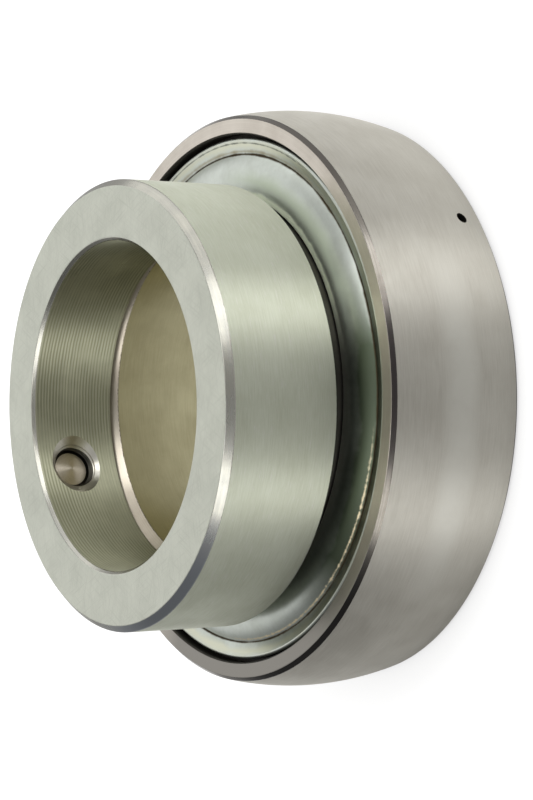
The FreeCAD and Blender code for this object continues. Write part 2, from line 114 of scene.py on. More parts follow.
class Outline:
    """Outline of a turned piece, in the half plane through an axis that runs along Z."""

    def __init__(self) -> None:
        """Start with no corner."""
        self.mesh = bmesh.new()
        self.first: bmesh.types.BMVert | None = None
        self.last: bmesh.types.BMVert | None = None
        self.broken: list[tuple[float, bmesh.types.BMVert]] = []

    def to(self, across: float, up: float, edge: float = 0.0) -> None:
        """Draw a straight side to a corner.

        Args:
            across: Distance of the corner from the axis.
            up: Height of the corner.
            edge: How far the corner is rounded off.
        """
        corner = self.mesh.verts.new((across, 0.0, up))
        if self.last is None:
            self.first = corner
        else:
            self.mesh.edges.new((self.last, corner))
        self.last = corner
        if edge:
            self.broken.append((edge, corner))

    def arc(
        self, across: float, up: float, radius: float, left: bool, steps: int, edge: float = 0.0
    ) -> None:
        """Draw the short arc to a corner.

        Args:
            across: Distance of the corner from the axis.
            up: Height of the corner.
            radius: Radius of the arc.
            left: Whether its centre is to the left on the way there.
            steps: Number of straight sides that make the arc.
            edge: How far the corner is rounded off.
        """
        start = self.last.co.copy()
        end = Vector((across, 0.0, up))
        chord = end - start
        rise = math.sqrt(radius**2 - (chord.length / 2) ** 2)
        side = Vector((-chord.z, 0.0, chord.x)).normalized() * (rise if left else -rise)
        centre = (start + end) / 2 + side
        turn = 2 * math.asin(chord.length / 2 / radius) * (-1 if left else 1)
        swept = bmesh.ops.spin(
            self.mesh, geom=[self.last], cent=centre, axis=(0, 1, 0), angle=turn, steps=steps
        )
        self.last = next(item for item in swept["geom_last"] if isinstance(item, bmesh.types.BMVert))
        self.last.co = end
        if edge:
            self.broken.append((edge, self.last))

    def turn(self, around: int = AROUND) -> Mesh:
        """Close the outline, round its corners and turn it about the axis.

        Args:
            around: Number of steps in the full turn.

        Returns:
            The closed mesh, with its faces outwards.
        """
        self.mesh.edges.new((self.last, self.first))
        for edge in sorted({edge for edge, corner in self.broken}):
            corners = [corner for size, corner in self.broken if size == edge]
            bmesh.ops.bevel(
                self.mesh, geom=corners, offset=edge, offset_type="OFFSET", segments=EDGE_STEPS, profile=0.5,
                affect="VERTICES", material=-1,
            )
        bmesh.ops.spin(
            self.mesh, geom=self.mesh.verts[:] + self.mesh.edges[:], cent=(0, 0, 0), axis=(0, 0, 1),
            angle=FULL_TURN, steps=around, use_merge=True,
        )
        bmesh.ops.remove_doubles(self.mesh, verts=self.mesh.verts[:], dist=MERGE)
        bmesh.ops.recalc_face_normals(self.mesh, faces=self.mesh.faces[:])
        return self.mesh


def blind_hole(radius: float, bottom: float, mouth: float, sink: float, point: float = 0.0) -> Outline:
    """Return the outline of a blind hole's cutter, countersunk at its mouth.

    Args:
        radius: Radius of the hole.
        bottom: Height at which its wall begins.
        mouth: Height of its mouth.
        sink: Depth of the countersink, which is as wide as it is deep.
        point: Depth of the drill's point below the wall.

    Returns:
        The outline, along the hole's own axis.
    """
    line = Outline()
    line.to(0, bottom - point)
    line.to(radius, bottom)
    line.to(radius, mouth - sink)
    line.to(radius + sink + SPARE, mouth + SPARE)
    line.to(0, mouth + SPARE)
    return line


def moved(mesh: Mesh, *steps: Matrix) -> Mesh:
    """Move a mesh by several matrices, the last one first.

    Args:
        mesh: The mesh, which is changed.
        steps: The matrices.

    Returns:
        The mesh.
    """
    whole = Matrix.Identity(4)
    for step in steps:
        whole = whole @ step
    bmesh.ops.transform(mesh, matrix=whole, verts=mesh.verts[:])
    return mesh


def across_axis(shift: float, height: float, angle: float) -> Matrix:
    """Return the matrix that lays a Z axis outwards, across the bearing's axis.

    Args:
        shift: Where the piece's own axis lies along Y.
        height: Height of the hole or screw.
        angle: Its angle about the axis, from +X.

    Returns:
        The matrix.
    """
    return (
        Matrix.Translation((0, shift, height))
        @ Matrix.Rotation(math.radians(angle), 4, "Z")
        @ Matrix.Rotation(math.radians(90), 4, "Y")
    )


def paint(mesh: Mesh, choose: Callable[[Vector, Vector], int]) -> Mesh:
    """Give each face the number of its finish.

    Args:
        mesh: The mesh, which is changed.
        choose: Returns the number for a face's middle and its normal.

    Returns:
        The mesh.
    """
    mesh.normal_update()
    for face in mesh.faces:
        face.material_index = choose(face.calc_center_median(), face.normal)
    return mesh


def to_object(name: str, mesh: Mesh, materials: tuple[bpy.types.Material, ...] = ()) -> Piece:
    """Return an object in millimetres made from a mesh, which is freed.

    Args:
        name: Name of the object.
        mesh: Its mesh.
        materials: Its materials, in the order of the numbers that its faces have.

    Returns:
        The object, linked to the scene.
    """
    data = bpy.data.meshes.new(name)
    mesh.to_mesh(data)
    mesh.free()
    for material in materials:
        data.materials.append(material)
    piece = bpy.data.objects.new(name, data)
    bpy.context.scene.collection.objects.link(piece)
    return piece


def combine(piece: Piece, work: Work, *others: Piece) -> None:
    """Cut other solids out of a piece, or join them to it.

    Args:
        piece: The piece, whose mesh is replaced.
        work: Whether they are cut out or joined.
        others: The solids, whose faces have the numbers of the piece's materials, and which are deleted.
    """
    for other in others:
        for material in piece.data.materials:
            other.data.materials.append(material)
        step = piece.modifiers.new("solid", "BOOLEAN")
        step.operation = work.value
        step.solver = "EXACT"
        step.object = other
    bpy.context.view_layer.update()
    whole = piece.evaluated_get(bpy.context.evaluated_depsgraph_get())
    old = piece.data
    piece.data = bpy.data.meshes.new_from_object(whole)
    piece.modifiers.clear()
    bpy.data.meshes.remove(old)
    for other in others:
        bpy.data.meshes.remove(other.data)


def is_crease(edge: bmesh.types.BMEdge) -> bool:
    """Say whether shading stops at an edge: at a sharp one, or where a rounding meets a much wider face.

    Args:
        edge: An edge with two faces.

    Returns:
        True where the shading stops.
    """
    angle = math.degrees(edge.calc_face_angle(0.0))
    areas = sorted(face.calc_area() for face in edge.link_faces)
    return angle > CREASE_ANGLE or (angle > ROUNDING_ANGLE and areas[1] > ROUNDING_SHARE * areas[0])


def finish_mesh(piece: Piece) -> None:
    """Shade a piece's mesh and bring it to metres.

    Args:
        piece: The object, in millimetres.
    """
    mesh = bmesh.new()
    mesh.from_mesh(piece.data)
    for face in mesh.faces:
        face.smooth = True
    for edge in mesh.edges:
        if len(edge.link_faces) == 2:
            edge.smooth = not is_crease(edge)
    bmesh.ops.scale(mesh, vec=(MM, MM, MM), verts=mesh.verts[:])
    mesh.to_mesh(piece.data)
    mesh.free()
    piece.data.name = piece.name


class Nodes:
    """Builds the nodes of a material or of the world."""

    def __init__(self, tree: bpy.types.NodeTree) -> None:
        """Work in one node tree."""
        self.tree = tree

    def feed(self, node: bpy.types.Node, key: str | int, value: Value) -> None:
        """Set an input of a node, or link an output to it.

        Args:
            node: The node.
            key: Name or number of the input.
            value: The value, or the output.
        """
        if isinstance(value, Socket):
            self.tree.links.new(value, node.inputs[key])
        else:
            node.inputs[key].default_value = value

    def add(
        self, kind: str, inputs: dict[str | int, Value] | None = None, **settings: str | bool
    ) -> bpy.types.Node:
        """Add a node.

        Args:
            kind: The node's type.
            inputs: For some of its inputs, a value, or an output to link to it.
            settings: Its own settings.

        Returns:
            The node.
        """
        node = self.tree.nodes.new(kind)
        for name, value in settings.items():
            setattr(node, name, value)
        for key, value in (inputs or {}).items():
            self.feed(node, key, value)
        return node

    def math(self, operation: str, *values: Value, clamp: bool = False) -> Socket:
        """Return the result of a sum on numbers, which clamp keeps between 0 and 1."""
        inputs = dict(enumerate(values))
        return self.add("ShaderNodeMath", inputs, operation=operation, use_clamp=clamp).outputs[0]

    def vector(self, operation: str, *values: Value) -> Socket:
        """Return the result of a sum on vectors."""
        node = self.add("ShaderNodeVectorMath", dict(enumerate(values)), operation=operation)
        return node.outputs["Value" if operation in ("LENGTH", "DOT_PRODUCT") else "Vector"]

    def times(self, place: Socket, factor: float) -> Socket:
        """Return a place times the same factor along each axis."""
        return self.vector("MULTIPLY", place, (factor,) * 3)

    def noise(self, place: Socket, detail: float = 2.0, rough: float = 0.5) -> Socket:
        """Return noise from 0 to 1 whose lumps are about one unit of the place wide."""
        values = {"Vector": place, "Scale": 1.0, "Detail": detail, "Roughness": rough}
        return self.add("ShaderNodeTexNoise", values).outputs["Fac"]

    def between(
        self, value: Socket, low: float, high: float, start: float = 0.0, end: float = 1.0
    ) -> Socket:
        """Return a value brought from between low and high to between start and end, and kept there."""
        values = {"Value": value, "From Min": low, "From Max": high, "To Min": start, "To Max": end}
        return self.add("ShaderNodeMapRange", values, clamp=True).outputs["Result"]

    def mix(self, share: Socket, first: Socket | Colour, second: Socket | Colour) -> Socket:
        """Return a mix of two colours.

        Args:
            share: 0 for the first colour and 1 for the second.
            first: First colour or output.
            second: Second colour or output.

        Returns:
            The output. The node's colours are its inputs 6 and 7, and their mix is its output 2.
        """
        first = (*first, 1.0) if isinstance(first, tuple) else first
        second = (*second, 1.0) if isinstance(second, tuple) else second
        return self.add("ShaderNodeMix", {0: share, 6: first, 7: second}, data_type="RGBA").outputs[2]


class Shader(Nodes):
    """Builds one material's nodes."""

    def __init__(self, name: str) -> None:
        """Start a material that has only its surface shader."""
        self.material = bpy.data.materials.new(name)
        self.material.use_nodes = True
        super().__init__(self.material.node_tree)
        self.surface = next(node for node in self.tree.nodes if node.type == "BSDF_PRINCIPLED")

    def coordinates(self) -> Socket:
        """Return the place on the object, in metres."""
        return self.add("ShaderNodeTexCoord").outputs["Object"]

    def raised(self, height: Socket, depth: float, under: Socket | None = None) -> Socket:
        """Return the normal of a surface that is raised in places.

        Args:
            height: Where it is raised, from 0 to 1.
            depth: How far it is raised, in millimetres.
            under: Normal of the surface before that.

        Returns:
            The normal.
        """
        node = self.add("ShaderNodeBump", {"Height": height, "Distance": depth * MM, "Strength": 1.0})
        if under is not None:
            self.feed(node, "Normal", under)
        return node.outputs["Normal"]


class TurnedShader(Shader):
    """Builds the nodes of a finish whose marks follow an axis, with places in millimetres."""

    def __init__(self, name: str, centre: Place, axis: Place) -> None:
        """Start a material, and find how a place lies to the axis.

        Args:
            name: Name of the material.
            centre: A place on the axis.
            axis: Direction of the axis, one unit long.
        """
        super().__init__(name)
        origin = tuple(-part for part in centre)
        self.place = self.vector("MULTIPLY_ADD", self.coordinates(), (1 / MM,) * 3, origin)
        self.height = self.vector("DOT_PRODUCT", self.place, axis)
        inputs = {0: axis, "Scale": self.height}
        rise = self.add("ShaderNodeVectorMath", inputs, operation="SCALE").outputs["Vector"]
        flat = self.vector("SUBTRACT", self.place, rise)
        self.radius = self.vector("LENGTH", flat)
        self.outwards = self.vector("NORMALIZE", flat)


@dataclass(frozen=True)
class Band:
    """Colour on a ring of a piece, or on an arc of it about an angle: dirt, bare or dark metal, painted shade,
    painted light.

    grain is the size of its lumps, cover how closed it is, soft how gently it ends and dull its roughness.
    LEVEL is how high the grain rises to show where cover is 0, and END how far round each end of an arc fades.
    """

    colour: Colour
    radius: float
    reach: float
    grain: float = 1.2
    cover: float = 0.5
    dull: float = 0.6
    soft: float = 0.1
    angle: float = 0.0
    arc: float = 0.0

    LEVEL = 0.67
    END = 9.0

    def share(self, shader: TurnedShader) -> Socket:
        """Return how much of a place the band covers.

        Args:
            shader: The material's nodes.

        Returns:
            The output, from 0 to 1.
        """
        away = shader.math("ABSOLUTE", shader.math("SUBTRACT", shader.radius, self.radius))
        near = shader.between(away, 0.0, self.reach, 1.0, 0.0)
        grain = shader.noise(shader.times(shader.place, 1 / self.grain), detail=4.0, rough=0.6)
        wanted = shader.math("ADD", grain, shader.math("SUBTRACT", near, 1.0))
        middle = self.LEVEL - self.cover / 2
        share = shader.between(wanted, middle - self.soft / 2, middle + self.soft / 2)
        if not self.arc:
            return share
        turn = math.radians(self.angle)
        facing = shader.vector("DOT_PRODUCT", shader.outwards, (math.cos(turn), math.sin(turn), 0.0))
        outer = math.cos(math.radians(self.arc / 2 + self.END))
        inner = math.cos(math.radians(self.arc / 2 - self.END))
        return shader.math("MULTIPLY", share, shader.between(facing, outer, inner))


def painted_shade_sector(
    colour: Colour, radius: float, angle: float, arc: float, grain: float = 2.0, dull: float = 0.2
) -> Band:
    """Return a broad and closed band of painted shade over an arc of a face or chamfer."""
    return Band(colour, radius, reach=9.0, grain=grain, cover=1.5, dull=dull, soft=0.5, angle=angle, arc=arc)


@dataclass(frozen=True)
class Steel:
    """A steel finish.

    spacing and depth are of the marks, stretch is how long they are, blotch is the size of the cloudy
    patches, scratches is how much of the face they take, and ridges is the pitch of turning ridges. The marks
    follow a line through centre along axis. A RANGE is the part of its noise that goes from nothing to all.
    ROUND counts lumps round the axis, UP lines to a millimetre, and a SLOPE says how the radius adds to them.
    """

    name: str
    colour: Colour
    shade: Colour
    roughness: float = 0.35
    spread: float = 0.1
    anisotropic: float = 0.0
    lay: Lay = Lay.ROUND
    spacing: float = 0.12
    stretch: float = 25.0
    depth: float = 0.004
    marks: float = 0.3
    blotch: float = 7.0
    clouds: float = 0.5
    scratches: float = 0.0
    ridges: float = 0.0
    ridge_depth: float = 0.0
    centre: Place = (0.0, 0.0, 0.0)
    axis: Place = (0.0, 0.0, 1.0)
    bands: tuple[Band, ...] = ()

    CLOUD_RANGE = (0.35, 0.65)
    MARK_RANGE = (0.3, 0.7)
    MARKS_ROUND = 40.0
    MARK_SLOPE = 1.7
    CROSS_TURNS = (12.0, 63.0, 118.0, 161.0)
    CROSS_RANGE = (0.54, 0.68)
    SCRATCHES_ROUND = 16.0
    SCRATCHES_UP = 4.5
    SCRATCH_SLOPE = 1.3
    SCRATCH_RANGE = (0.60, 0.70)
    RIDGE_PATCH = 0.11
    RIDGE_PATCH_RANGE = (0.38, 0.58)
    RIDGE_PATCH_TONE = (0.25, 0.95)
    RIDGE_SWAY = (0.3, 0.3, 0.6)
    RIDGE_SWAY_TURN = 2.5
    RIDGE_RANGE = (-0.4, 0.9)
    QUARTER = 0.25

    def build(self) -> bpy.types.Material:
        """Make the material.

        Returns:
            The material.
        """
        shader = TurnedShader(self.name, self.centre, self.axis)
        marks = self.marks_on(shader)
        worn = self.worn(shader, marks)
        colour = shader.mix(worn, self.colour, self.shade)
        roughness = shader.between(worn, 0.0, 1.0, self.roughness, self.roughness + self.spread)
        if self.scratches:
            colour = shader.mix(self.scratch_lines(shader), colour, SCRATCHED)
        for band in self.bands:
            share = band.share(shader)
            colour = shader.mix(share, colour, band.colour)
            bare = shader.math("MULTIPLY", roughness, shader.math("SUBTRACT", 1.0, share))
            roughness = shader.math("ADD", bare, shader.math("MULTIPLY", share, band.dull))
        shader.feed(shader.surface, "Base Color", colour)
        shader.feed(shader.surface, "Roughness", roughness)
        shader.feed(shader.surface, "Metallic", 1.0)
        normal = shader.raised(marks, self.depth)
        if self.ridges:
            phase = shader.math("MULTIPLY", shader.height, FULL_TURN / self.ridges)
            normal = shader.raised(shader.math("SINE", phase), self.ridge_depth, normal)
        shader.feed(shader.surface, "Normal", normal)
        if self.anisotropic:
            self.comb(shader)
        return shader.material

    def worn(self, shader: TurnedShader, marks: Socket) -> Socket:
        """Return how far a place goes to the darker shade.

        Args:
            shader: The material's nodes.
            marks: Noise of the marks.

        Returns:
            The output, from 0 to 1.
        """
        clouds = shader.noise(shader.times(shader.place, 1 / self.blotch), detail=5.0, rough=0.55)
        cloudy = shader.between(clouds, *self.CLOUD_RANGE, 0.0, self.clouds)
        marked = shader.between(marks, *self.MARK_RANGE, 0.0, self.marks)
        worn = shader.math("ADD", cloudy, marked, clamp=True)
        if self.ridges:
            worn = shader.math("ADD", worn, self.ridge_tone(shader), clamp=True)
        return worn

    def marks_on(self, shader: TurnedShader) -> Socket:
        """Return the noise of the fine marks.

        Args:
            shader: The material's nodes.

        Returns:
            The output, from 0 to 1.
        """
        if self.lay is Lay.NONE:
            return shader.noise(shader.times(shader.place, 1 / self.spacing), detail=3.0)
        if self.lay is Lay.CROSSED:
            return self.crossed_marks(shader)
        along = shader.times(shader.outwards, self.MARKS_ROUND / self.stretch)
        lifted = self.lifted(shader, self.MARK_SLOPE, 1 / self.spacing)
        return shader.noise(shader.vector("ADD", along, lifted), detail=3.0, rough=0.6)

    def crossed_marks(self, shader: TurnedShader) -> Socket:
        """Return the lines of a flat face that was rubbed in several directions.

        Args:
            shader: The material's nodes.

        Returns:
            The output, from 0 to 1.
        """
        total = None
        for turn in self.CROSS_TURNS:
            turned = shader.add(
                "ShaderNodeMapping",
                {"Vector": shader.place, "Rotation": (0.0, 0.0, math.radians(turn)),
                 "Scale": (self.spacing, self.stretch, self.stretch)},
                vector_type="TEXTURE",
            ).outputs["Vector"]
            lines = shader.between(shader.noise(turned), *self.CROSS_RANGE)
            total = lines if total is None else shader.math("MAXIMUM", total, lines)
        return total

    def lifted(self, shader: TurnedShader, slope: float, pitch: float) -> Socket:
        """Return a vector that grows with height and with the distance from the axis.

        Args:
            shader: The material's nodes.
            slope: How far the distance counts beside the height.
            pitch: Number of lines to a millimetre.

        Returns:
            The output.
        """
        spread = shader.math("MULTIPLY", shader.radius, slope)
        step = shader.math("MULTIPLY", shader.math("ADD", shader.height, spread), pitch)
        return shader.add("ShaderNodeCombineXYZ", {"Z": step}).outputs[0]

    def ridge_tone(self, shader: TurnedShader) -> Socket:
        """Return how dark the turning ridges are, stronger in some patches.

        Args:
            shader: The material's nodes.

        Returns:
            The output.
        """
        patch = shader.noise(shader.times(shader.place, self.RIDGE_PATCH))
        sway = shader.noise(shader.vector("MULTIPLY", shader.place, self.RIDGE_SWAY))
        phase = shader.math(
            "ADD", shader.math("MULTIPLY", shader.height, FULL_TURN / self.ridges),
            shader.math("MULTIPLY", sway, self.RIDGE_SWAY_TURN),
        )
        wave = shader.between(shader.math("SINE", phase), *self.RIDGE_RANGE)
        strength = shader.between(patch, *self.RIDGE_PATCH_RANGE, *self.RIDGE_PATCH_TONE)
        return shader.math("MULTIPLY", wave, strength)

    def scratch_lines(self, shader: TurnedShader) -> Socket:
        """Return how much of a place is a bright scratch round the axis.

        Args:
            shader: The material's nodes.

        Returns:
            The output, from 0 to the finish's share of scratches.
        """
        lifted = self.lifted(shader, self.SCRATCH_SLOPE, self.SCRATCHES_UP)
        along = shader.times(shader.outwards, self.SCRATCHES_ROUND)
        lines = shader.noise(shader.vector("ADD", along, lifted), rough=0.6)
        return shader.between(lines, *self.SCRATCH_RANGE, 0.0, self.scratches)

    def comb(self, shader: TurnedShader) -> None:
        """Spread the reflections across the marks.

        Args:
            shader: The material's nodes.
        """
        along = shader.vector("CROSS_PRODUCT", self.axis, shader.outwards)
        tangent = shader.add(
            "ShaderNodeVectorTransform", {0: along}, vector_type="VECTOR", convert_from="OBJECT",
            convert_to="WORLD",
        ).outputs[0]
        shader.feed(shader.surface, "Tangent", tangent)
        shader.feed(shader.surface, "Anisotropic", self.anisotropic)
        shader.feed(shader.surface, "Anisotropic Rotation", self.QUARTER)


@dataclass(frozen=True)
class Moulded:
    """A moulded finish without metal, such as rubber or plastic, with a fine grain."""

    name: str
    colour: Colour
    shade: Colour
    roughness: float = 0.6
    spread: float = 0.08
    grain: float = 0.3
    depth: float = 0.02

    PATCH = 0.05
    PATCH_RANGE = (0.3, 0.7)
    GRAIN_RANGE = (0.2, 0.8)

    def build(self) -> bpy.types.Material:
        """Make the material.

        Returns:
            The material.
        """
        shader = Shader(self.name)
        place = shader.times(shader.coordinates(), 1 / MM / self.grain)
        grain = shader.noise(place, detail=4.0, rough=0.6)
        patches = shader.noise(shader.times(place, self.PATCH), detail=3.0)
        colour = shader.mix(shader.between(patches, *self.PATCH_RANGE), self.colour, self.shade)
        shader.feed(shader.surface, "Base Color", colour)
        smooth, rough = self.roughness - self.spread, self.roughness + self.spread
        shader.feed(shader.surface, "Roughness", shader.between(grain, *self.GRAIN_RANGE, smooth, rough))
        shader.feed(shader.surface, "Normal", shader.raised(grain, self.depth))
        return shader.material


def place_piece(piece: Piece, body: str, node: str) -> None:
    """Shade a finished piece, let it ride on a body in the place of its node, and report it.

    Args:
        piece: The piece, in millimetres.
        body: Name of the body.
        node: Name of the node that it replaces.
    """
    finish_mesh(piece)
    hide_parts(node)
    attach(piece, body)
    LOG.info("%s rides on %s with %d faces", piece.name, body, len(piece.data.polygons))


def dress(node: str, material: bpy.types.Material) -> None:
    """Give a node of the frame its material.

    Args:
        node: Name of the node.
        material: Its material.
    """
    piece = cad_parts[node]
    piece.data.materials.clear()
    piece.data.materials.append(material)
    LOG.info("%s is dressed", node)


class OuterZone(IntEnum):
    """Parts of the outer ring, in the order of its finishes."""

    SPHERE = 0
    FACE = 1
    INSIDE = 2
    CHAMFER = 3


@dataclass
class OuterRing:
    """Outer ring: spherical ground outside, raceway, undercut seal seats and two grease holes."""

    chamfer: float = 0.66
    bore_wall: float = 6.7
    seat_step: float = 2.08
    undercut: float = 0.67
    mouth_chamfer: float = 0.2
    seat_depth: float = 3.6
    seat_lip: float = 2.35
    raceway: float = 7.358
    raceway_width: float = 5.68
    hole_radius: float = 1.0
    hole_height: float = 4.9
    hole_angle: float = 36.4
    hole_depth: float = 9.0
    hole_sink: float = 0.3
    hole_around: int = 48
    break_edge: float = 0.1
    outside_depth: float = 4.0
    chamfer_slope: float = 0.35
    # Radii at which the painted shade lies on the face and on the chamfer.
    face_shade_radius: float = 46.8
    chamfer_shade_radius: float = 48.3
    sphere: float = field(init=False)
    face: float = field(init=False)

    def __post_init__(self) -> None:
        """Read the radius of the sphere and the height of the face."""
        top = spot("outer_ring")
        low = spot("outer_ring", high=False)
        self.sphere = min(top.x, top.y, -low.x, -low.y)
        self.face = top.z

    def outline(self) -> Outline:
        """Draw the ring's section.

        Returns:
            The section.
        """
        land = self.sphere - self.bore_wall
        mouth = land + self.seat_step
        shoulder = self.face - self.chamfer
        rim = math.sqrt(self.sphere**2 - shoulder**2)
        seat = self.face - self.seat_depth
        line = Outline()
        line.to(rim - self.chamfer, -self.face, self.break_edge)
        line.to(rim, -shoulder, self.break_edge)
        line.arc(rim, shoulder, self.sphere, left=True, steps=40, edge=self.break_edge)
        line.to(rim - self.chamfer, self.face, self.break_edge)
        line.to(mouth + self.mouth_chamfer, self.face)
        line.to(mouth, self.face - self.mouth_chamfer)
        line.to(mouth, self.face - self.seat_lip)
        line.to(mouth + self.undercut, self.face - self.seat_lip)
        line.to(mouth + self.undercut, seat)
        line.to(land, seat)
        line.to(land, self.raceway_width)
        line.arc(land, -self.raceway_width, self.raceway, left=False, steps=16)
        line.to(land, -seat)
        line.to(mouth + self.undercut, -seat)
        line.to(mouth + self.undercut, self.seat_lip - self.face)
        line.to(mouth, self.seat_lip - self.face)
        line.to(mouth, self.mouth_chamfer - self.face)
        line.to(mouth + self.mouth_chamfer, -self.face)
        return line

    def zone(self, middle: Vector, normal: Vector) -> int:
        """Return which part of the ring a face belongs to.

        Args:
            middle: Middle of the face.
            normal: Its normal.

        Returns:
            The number of the part.
        """
        if abs(normal.z) > FLAT:
            return OuterZone.FACE
        if middle.to_2d().length < self.sphere - self.outside_depth:
            return OuterZone.INSIDE
        return OuterZone.CHAMFER if abs(normal.z) > self.chamfer_slope else OuterZone.SPHERE

    def grease_hole(self, angle: float) -> Piece:
        """Make the cutter of a grease hole.

        Args:
            angle: Angle of the hole about the axis.

        Returns:
            The cutter.
        """
        line = blind_hole(self.hole_radius, self.sphere - self.hole_depth, self.sphere, self.hole_sink)
        hole = moved(line.turn(self.hole_around), across_axis(0, self.hole_height - self.face, angle))
        return to_object("grease_hole", paint(hole, lambda middle, normal: OuterZone.INSIDE))

    def finishes(self) -> tuple[Steel, ...]:
        """Choose the finishes of the ring's parts.

        Returns:
            The finishes, in the order of the parts' numbers.
        """
        polished = Band((0.70, 0.685, 0.62), self.sphere, reach=0.24, grain=6.0, cover=0.95, dull=0.52,
                        soft=0.7, angle=-6, arc=56)
        # Painted shade: a darker arc of the face, and three darker arcs of the chamfer that stand in for dark
        # reflections.
        painted_face_shade = painted_shade_sector((0.245, 0.232, 0.208), self.face_shade_radius, -80, 80, grain=3.0, dull=0.3)
        tones = (
            painted_shade_sector((0.10, 0.092, 0.082), self.chamfer_shade_radius, 62, 42),
            painted_shade_sector((0.072, 0.068, 0.064), self.chamfer_shade_radius, -60, 52),
            painted_shade_sector((0.10, 0.088, 0.086), self.chamfer_shade_radius, 3, 24),
        )
        return (
            Steel("ground_sphere", RING_STEEL, RING_SHADE, roughness=0.50, anisotropic=0.95, spacing=0.16,
                  stretch=3.5, depth=0.004, marks=0.55, clouds=0.3, blotch=6, bands=(polished,)),
            Steel("ground_ring_face", (0.67, 0.62, 0.55), (0.50, 0.455, 0.395), roughness=0.28,
                  anisotropic=0.4, spacing=0.1, depth=0.003, marks=0.5, bands=(painted_face_shade,)),
            # Near black inside the ring and in its grease holes: painted shade.
            Steel("ring_inside_painted_shade", (0.11, 0.10, 0.088), (0.06, 0.055, 0.048), roughness=0.45),
            Steel("ring_chamfer", (0.32, 0.30, 0.27), (0.16, 0.145, 0.12), roughness=0.15, marks=0.5,
                  bands=tones),
        )

    def build(self) -> None:
        """Make and dress the ring."""
        mesh = paint(self.outline().turn(), self.zone)
        piece = to_object("ground_outer_ring", mesh, tuple(finish.build() for finish in self.finishes()))
        holes = (self.grease_hole(self.hole_angle), self.grease_hole(self.hole_angle + 180))
        combine(piece, Work.CUT, *holes)
        place_piece(piece, "outer", "outer_ring")


class InnerZone(IntEnum):
    """Parts of the inner ring, in the order of its finishes."""

    BORE = 0
    CHAMFER = 1
    OUTSIDE = 2
    REAR = 3


@dataclass
class InnerRing:
    """Inner ring: ground bore, raceway, and a long front end with the eccentric cam."""

    wall: float = 7.0
    raceway_width: float = 5.85
    raceway: float = 7.358
    land_chamfer: float = 0.6
    bore_chamfer: float = 1.4
    neck: float = 32.1
    neck_start: float = 14.8
    cam: float = 33.0
    cam_start: float = 15.7
    cam_offset: float = 0.6125
    cam_chamfer: float = 0.6
    break_edge: float = 0.1
    face_start: float = 0.2
    chamfer_slope: float = 0.3
    land: float = field(init=False)
    bore: float = field(init=False)
    end: float = field(init=False)
    rear: float = field(init=False)

    def __post_init__(self) -> None:
        """Read the radii and the heights of the ends."""
        top = spot("inner_ring")
        self.land = top.y
        self.bore = self.land - self.wall
        self.end = top.z
        self.rear = spot("inner_ring", high=False).z

    def outline(self) -> Outline:
        """Draw the ring's section, without its cam.

        Returns:
            The section.
        """
        line = Outline()
        line.to(self.bore, self.rear + self.bore_chamfer, self.break_edge)
        line.to(self.bore + self.bore_chamfer, self.rear, self.break_edge)
        line.to(self.land - self.land_chamfer, self.rear, self.break_edge)
        line.to(self.land, self.rear + self.land_chamfer, self.break_edge)
        line.to(self.land, -self.raceway_width)
        line.arc(self.land, self.raceway_width, self.raceway, left=False, steps=16)
        line.to(self.land, self.neck_start - self.land_chamfer, self.break_edge)
        line.to(self.land - self.land_chamfer, self.neck_start, self.break_edge)
        line.to(self.neck, self.neck_start)
        line.to(self.neck, self.end)
        line.to(self.bore + self.bore_chamfer, self.end, self.break_edge)
        line.to(self.bore, self.end - self.bore_chamfer, self.break_edge)
        return line

    def zone(self, middle: Vector, normal: Vector) -> int:
        """Return which part of the ring a face belongs to.

        Args:
            middle: Middle of the face.
            normal: Its normal.

        Returns:
            The number of the part.
        """
        if middle.to_2d().length > self.bore + self.bore_chamfer + self.face_start:
            return InnerZone.REAR if normal.z < -FLAT else InnerZone.OUTSIDE
        return InnerZone.CHAMFER if abs(normal.z) > self.chamfer_slope else InnerZone.BORE

    def cam_solid(self) -> Piece:
        """Make the eccentric cam.

        Returns:
            The cam, which overlaps the ring.
        """
        root = self.neck - 2 * self.cam_offset
        line = Outline()
        line.to(root, self.cam_start)
        line.to(self.cam, self.cam_start)
        line.to(self.cam, self.end - self.cam_chamfer, self.break_edge)
        line.to(self.cam - self.cam_chamfer, self.end, self.break_edge)
        line.to(root, self.end)
        mesh = moved(line.turn(), Matrix.Translation((0, -self.cam_offset, 0)))
        return to_object("cam", paint(mesh, lambda middle, normal: InnerZone.OUTSIDE))

    def finishes(self) -> tuple[Steel, ...]:
        """Choose the finishes of the ring's parts.

        Returns:
            The finishes, in the order of the parts' numbers.
        """
        dirt = Band(DARK_STEEL, self.bore + 0.05, reach=0.18, grain=0.5, cover=0.4)
        return (
            Steel("ground_bore", (0.62, 0.58, 0.38), (0.43, 0.39, 0.235), roughness=0.32, anisotropic=0.6,
                  spacing=0.2, stretch=6, depth=0.002, marks=0.3, clouds=0.4, blotch=6),
            Steel("bore_chamfer", (0.66, 0.61, 0.51), (0.46, 0.40, 0.32), roughness=0.27, marks=0.5,
                  bands=(dirt,)),
            # Near black on the outside, land, neck and cam: painted shade in the gap beside the collar.
            Steel("ring_land_painted_shade", (0.09, 0.085, 0.075), (0.05, 0.045, 0.04), roughness=0.45),
            Steel("ground_inner_face", (0.62, 0.565, 0.50), (0.46, 0.41, 0.35), roughness=0.28,
                  anisotropic=0.4, spacing=0.1, depth=0.003, marks=0.5),
        )

    def build(self) -> None:
        """Make and dress the ring and its cam, joined by their overlap in one mesh."""
        mesh = paint(self.outline().turn(), self.zone)
        piece = to_object("ground_inner_ring", mesh, tuple(finish.build() for finish in self.finishes()))
        combine(piece, Work.JOIN, self.cam_solid())
        place_piece(piece, "inner", "inner_ring")


